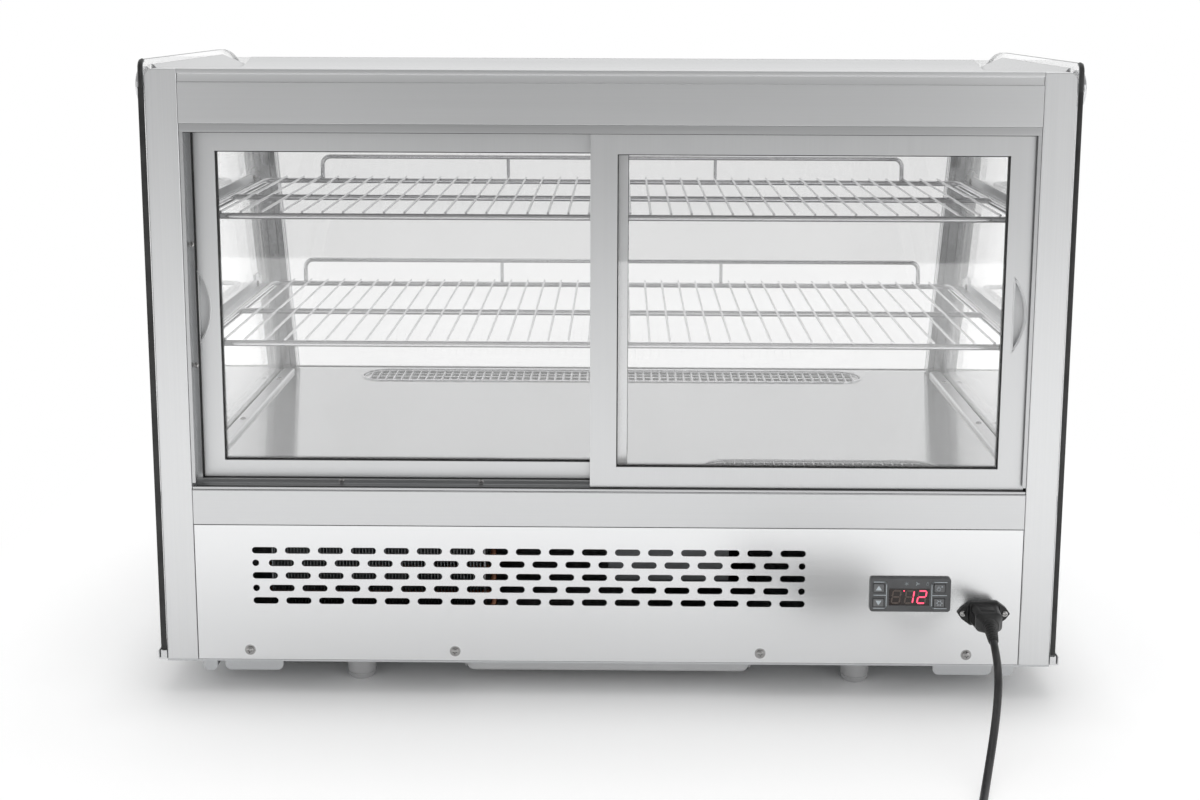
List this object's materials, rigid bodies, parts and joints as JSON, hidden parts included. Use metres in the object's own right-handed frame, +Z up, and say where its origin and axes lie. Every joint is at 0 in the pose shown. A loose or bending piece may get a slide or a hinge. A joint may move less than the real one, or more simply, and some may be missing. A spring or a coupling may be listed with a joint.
{
  "type": "bakery display case",
  "caption": "Countertop refrigerated display case: stainless frame, glass sides and curved front, sliding rear glass doors, wire shelves, digital thermostat and mains inlet.",
  "frame": {"origin": "centre of the footprint, on the surface that the feet stand on", "axes": "+X along the doors (right, seen from the operator's side), +Y towards the customer's front glass, +Z up"},
  "size_m": [0.873, 0.8736, 0.611],
  "materials": {
    "galvanised": "spangled zinc sheet",
    "foam_liner": "skinned foam",
    "grey_plastic": "fine moulded grain",
    "foot_rubber": "moulded rubber",
    "stainless": "fine brushed satin",
    "stainless_panel": "satin sheet",
    "stainless_roof": "brushed sheet",
    "zinc_screw": "zinc plated",
    "side_glass": "clear, black ceramic edge band",
    "clear_glass": "clear float glass",
    "front_glass": "clear curved glass",
    "chrome": "polished",
    "aluminium_trim": "satin anodised",
    "lamp_lens": "opal",
    "mirror_steel": "bright annealed",
    "grille_steel": "punched sheet",
    "thermostat_grey": "fine texture",
    "display_window": "tinted window",
    "black_plastic": "moulded nylon",
    "black_rubber": "moulded PVC",
    "cord_rubber": "extruded PVC sheath",
    "compressor_black": "black enamel",
    "fin_aluminium": "bare fins",
    "fan_plastic": "moulded",
    "box_grey": "grey enamel",
    "copper_line": "drawn copper",
    "door_aluminium": "satin anodised",
    "pull_plastic": "moulded",
    "shelf_chrome": "plated wire",
    "key_plastic": "soft keys"
  },
  "bodies": {
    "cabinet": {"base_pan": "galvanised", "base_skids": "galvanised", "drip_tray": "grey_plastic", "feet": "foot_rubber", "glass_sills": "stainless", "rear_posts": "stainless", "rear_header": "stainless", "rear_base_rail": "stainless", "service_panel": "stainless_panel", "panel_screws": "zinc_screw", "side_glass": "side_glass", "inner_panes": "clear_glass", "glass_knobs": "chrome", "front_glass": "front_glass", "front_lower_panel": "stainless_panel", "roof_pan": "stainless_roof", "ceiling_panel": "stainless_panel", "front_header": "aluminium_trim", "led_lamp": "lamp_lens", "front_posts": "aluminium_trim", "deck": "mirror_steel", "deck_side_sills": "stainless", "air_grille_far": "grille_steel", "air_grilles_near": "grille_steel", "small_screws": "zinc_screw", "door_track_top": "aluminium_trim", "door_track_bottom": "aluminium_trim", "door_track_sides": "aluminium_trim", "shelf_rails": "stainless", "thermostat_housing": "thermostat_grey", "thermostat_window": "display_window", "inlet_socket": "black_plastic", "plug_connector": "black_plastic", "cord_strain_relief": "black_rubber", "cord_tube": "cord_rubber", "cord_coil": "cord_rubber", "mains_plug": "black_plastic", "insulated_tub": "foam_liner", "compressor": "compressor_black", "condenser_coil": "fin_aluminium", "fan_shroud": "galvanised", "condenser_motor": "compressor_black", "evaporator_coil": "fin_aluminium", "evaporator_motor": "compressor_black", "electrical_box": "box_grey", "refrigerant_lines": "copper_line"},
    "door_left": {"door_left_frame": "door_aluminium", "door_left_glass": "clear_glass", "door_left_pull": "pull_plastic"},
    "door_right": {"door_right_frame": "door_aluminium", "door_right_glass": "clear_glass", "door_right_pull": "pull_plastic"},
    "shelf_upper_body": {"shelf_upper": "shelf_chrome"},
    "shelf_lower_body": {"shelf_lower": "shelf_chrome"},
    "condenser_fan_body": {"condenser_fan": "fan_plastic"},
    "evaporator_fan_body": {"evaporator_fan": "fan_plastic"},
    "key_up_body": {"key_up": "key_plastic"},
    "key_down_body": {"key_down": "key_plastic"},
    "key_lamp_body": {"key_lamp": "key_plastic"},
    "key_set_body": {"key_set": "key_plastic"}
  },
  "joints": [
    {"name": "door_left_slide", "type": "slide", "parent": "cabinet", "child": "door_left", "axis": [1, 0, 0], "range_m": [0, 0.376]},
    {"name": "door_right_slide", "type": "slide", "parent": "cabinet", "child": "door_right", "axis": [-1, 0, 0], "range_m": [0, 0.376]},
    {"name": "shelf_upper_lift", "type": "slide", "parent": "cabinet", "child": "shelf_upper_body", "axis": [0, 0, 1], "range_m": [0, 0.04]},
    {"name": "shelf_lower_lift", "type": "slide", "parent": "cabinet", "child": "shelf_lower_body", "axis": [0, 0, 1], "range_m": [0, 0.04]},
    {"name": "condenser_fan_spin", "type": "hinge", "parent": "cabinet", "child": "condenser_fan_body", "pos_m": [-0.225, -0.192, 0.091], "axis": [0, -1, 0], "continuous": true},
    {"name": "evaporator_fan_spin", "type": "hinge", "parent": "cabinet", "child": "evaporator_fan_body", "pos_m": [0, -0.117, 0.181], "axis": [0, 0, 1], "continuous": true},
    {"name": "key_up_press", "type": "slide", "parent": "cabinet", "child": "key_up_body", "axis": [0, 1, 0], "range_m": [0, 0.0006], "stiffness_N_per_m": 400},
    {"name": "key_down_press", "type": "slide", "parent": "cabinet", "child": "key_down_body", "axis": [0, 1, 0], "range_m": [0, 0.0006], "stiffness_N_per_m": 400},
    {"name": "key_lamp_press", "type": "slide", "parent": "cabinet", "child": "key_lamp_body", "axis": [0, 1, 0], "range_m": [0, 0.0006], "stiffness_N_per_m": 400},
    {"name": "key_set_press", "type": "slide", "parent": "cabinet", "child": "key_set_body", "axis": [0, 1, 0], "range_m": [0, 0.0006], "stiffness_N_per_m": 400}
  ]
}
